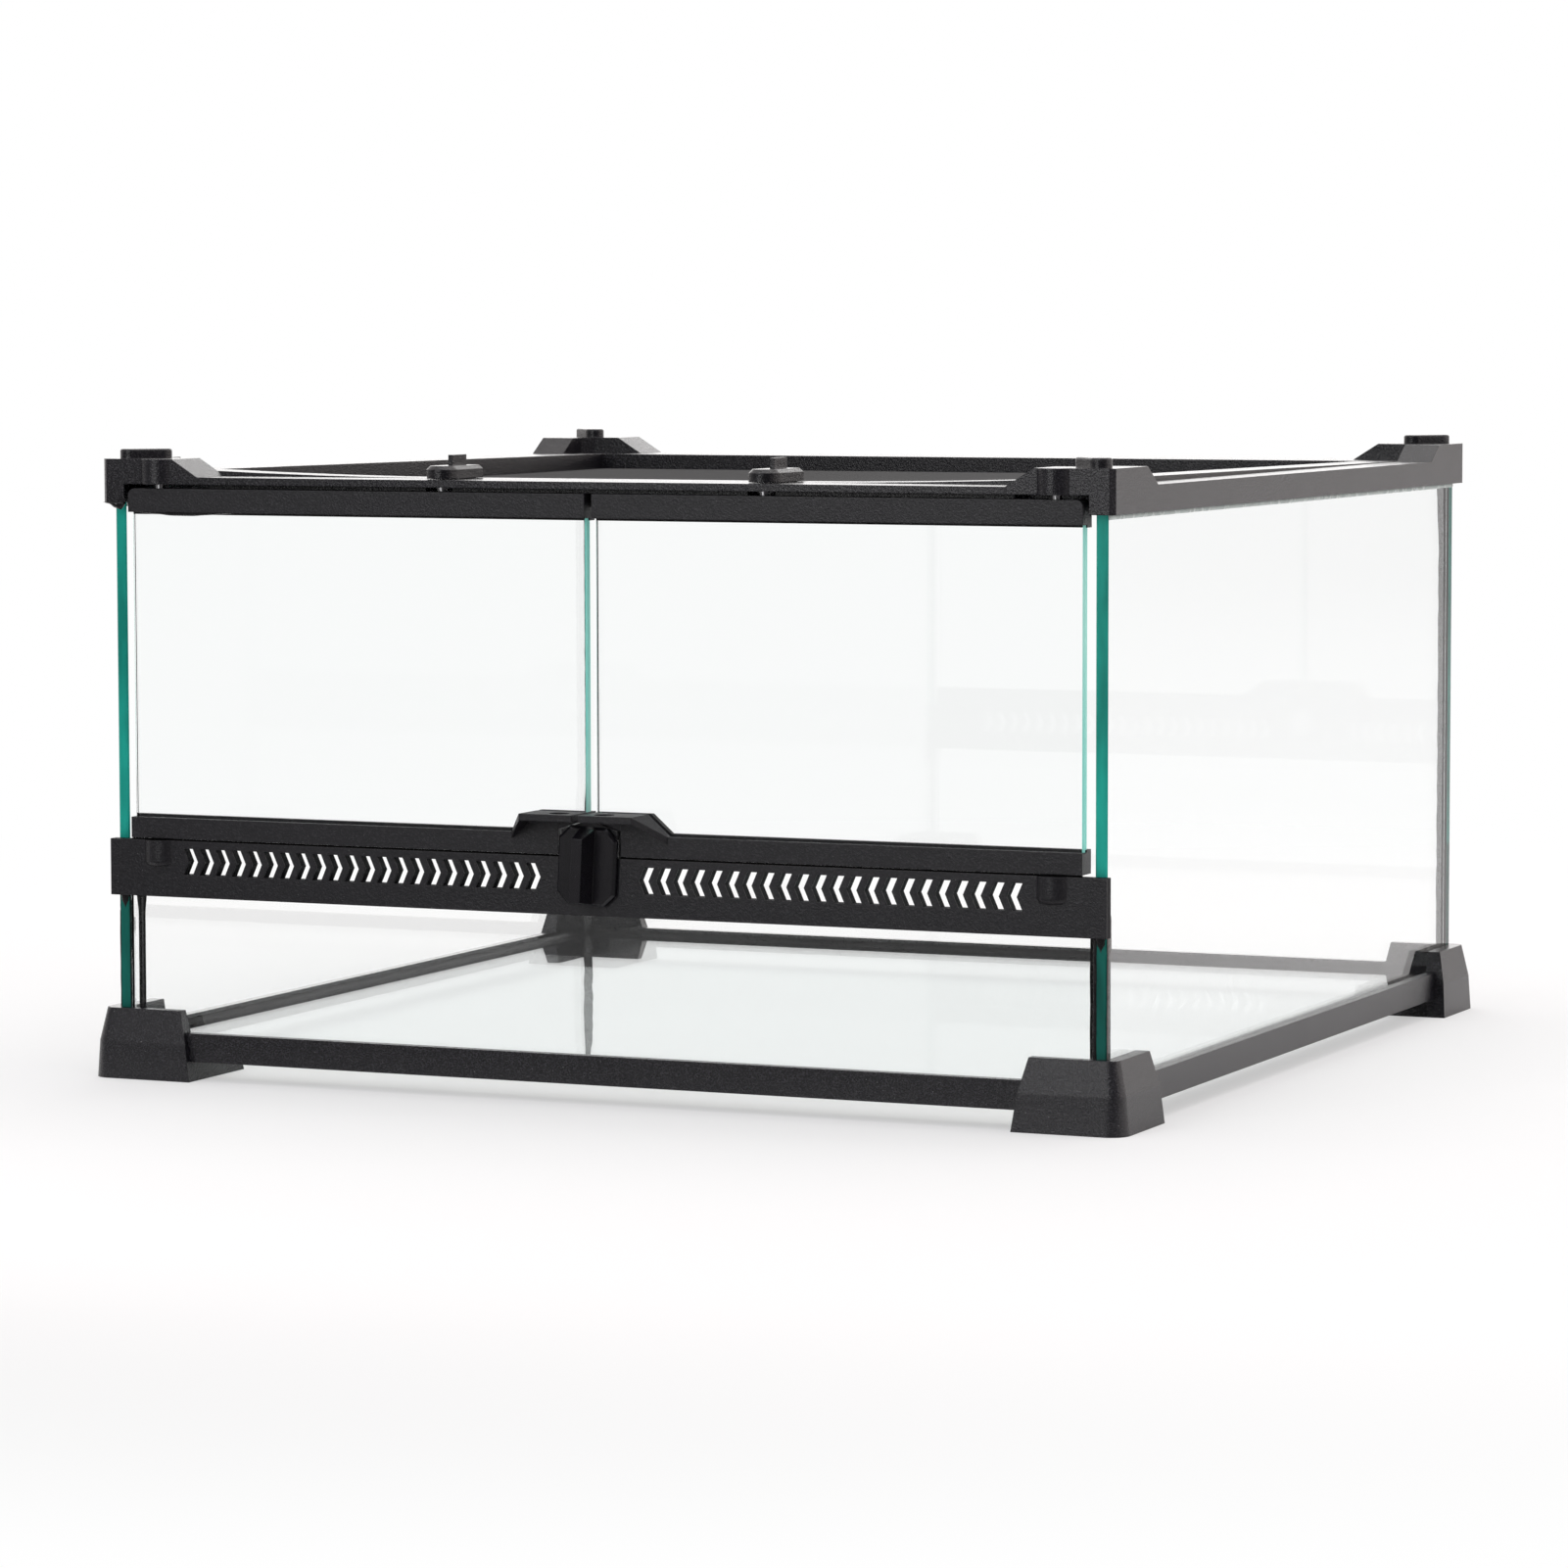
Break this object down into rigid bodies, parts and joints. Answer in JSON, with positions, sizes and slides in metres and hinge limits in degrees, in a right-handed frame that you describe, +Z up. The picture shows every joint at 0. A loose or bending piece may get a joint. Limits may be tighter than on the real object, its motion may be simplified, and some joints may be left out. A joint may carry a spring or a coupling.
{
  "type": "reptile terrarium",
  "caption": "Low front-opening glass terrarium with hinged doors, quarter-turn latch, vented sill bar, raised feet and a lift-off screen lid held by turn clips.",
  "frame": {"origin": "on the floor, under the centre of the bounding box", "axes": "+Z up, -Y towards the doors, +X to the right of someone facing the doors"},
  "size_m": [0.462, 0.4704, 0.2632],
  "materials": {
    "frame_plastic": "satin, fine moulded grain",
    "foot_plastic": "satin, fine moulded grain",
    "latch_plastic": "satin",
    "glass": "clear float glass with green edges",
    "silicone": "smooth black sealant",
    "screen_mesh": "fine black woven wire",
    "steel": "plain"
  },
  "bodies": {
    "tank": {"bottom_bar_front": "frame_plastic", "bottom_bar_left": "frame_plastic", "bottom_bar_rear": "frame_plastic", "bottom_bar_right": "frame_plastic", "foot_front_left": "foot_plastic", "foot_front_right": "foot_plastic", "foot_rear_left": "foot_plastic", "foot_rear_right": "foot_plastic", "frame_bar_front": "frame_plastic", "frame_bar_left": "frame_plastic", "frame_bar_rear": "frame_plastic", "frame_bar_right": "frame_plastic", "frame_corner_front_left": "frame_plastic", "frame_corner_front_right": "frame_plastic", "frame_corner_rear_left": "frame_plastic", "frame_corner_rear_right": "frame_plastic", "glass_floor": "glass", "glass_left": "glass", "glass_rear": "glass", "glass_right": "glass", "glass_sill": "glass", "seam_floor": "silicone", "seam_front_left": "silicone", "seam_front_right": "silicone", "seam_rear_left": "silicone", "seam_rear_right": "silicone", "vent_bar": "frame_plastic"},
    "right_door": {"door_bottom_pin_right": "steel", "door_bottom_rail_right": "frame_plastic", "door_glass_right": "glass", "door_hood_right": "frame_plastic", "door_top_pin_right": "steel", "door_top_rail_right": "frame_plastic"},
    "left_door": {"door_bottom_pin_left": "steel", "door_bottom_rail_left": "frame_plastic", "door_glass_left": "glass", "door_hood_left": "frame_plastic", "door_top_pin_left": "steel", "door_top_rail_left": "frame_plastic"},
    "latch": {"latch_knob": "latch_plastic", "latch_screw": "steel", "latch_shaft": "steel", "latch_washer": "steel"},
    "clip_right": {"lid_clip_right": "frame_plastic", "lid_clip_screw_right": "steel", "lid_clip_washer_right": "steel"},
    "clip_left": {"lid_clip_left": "frame_plastic", "lid_clip_screw_left": "steel", "lid_clip_washer_left": "steel"},
    "screen_lid": {"lid_rim": "frame_plastic", "lid_mesh": "screen_mesh", "lid_mesh_retainer": "frame_plastic"}
  },
  "joints": [
    {"name": "left_door_hinge", "type": "hinge", "parent": "tank", "child": "left_door", "pos_m": [-0.1997, -0.217, 0.1752], "axis": [0, 0, -1], "range_deg": [0, 110]},
    {"name": "right_door_hinge", "type": "hinge", "parent": "tank", "child": "right_door", "pos_m": [0.1997, -0.217, 0.1752], "axis": [0, 0, 1], "range_deg": [0, 110]},
    {"name": "latch_turn", "type": "hinge", "parent": "tank", "child": "latch", "pos_m": [0, -0.22185, 0.0974], "axis": [0, 1, 0], "range_deg": [-3, 87]},
    {"name": "clip_left_turn", "type": "hinge", "parent": "tank", "child": "clip_left", "pos_m": [-0.072, -0.20845, 0.2546], "axis": [0, 0, 1], "range_deg": [-90, 90]},
    {"name": "clip_right_turn", "type": "hinge", "parent": "tank", "child": "clip_right", "pos_m": [0.072, -0.20845, 0.2546], "axis": [0, 0, 1], "range_deg": [-90, 90]},
    {"name": "lid_lift", "type": "slide", "parent": "tank", "child": "screen_lid", "axis": [0, 0, 1], "range_m": [0, 0.1]}
  ]
}
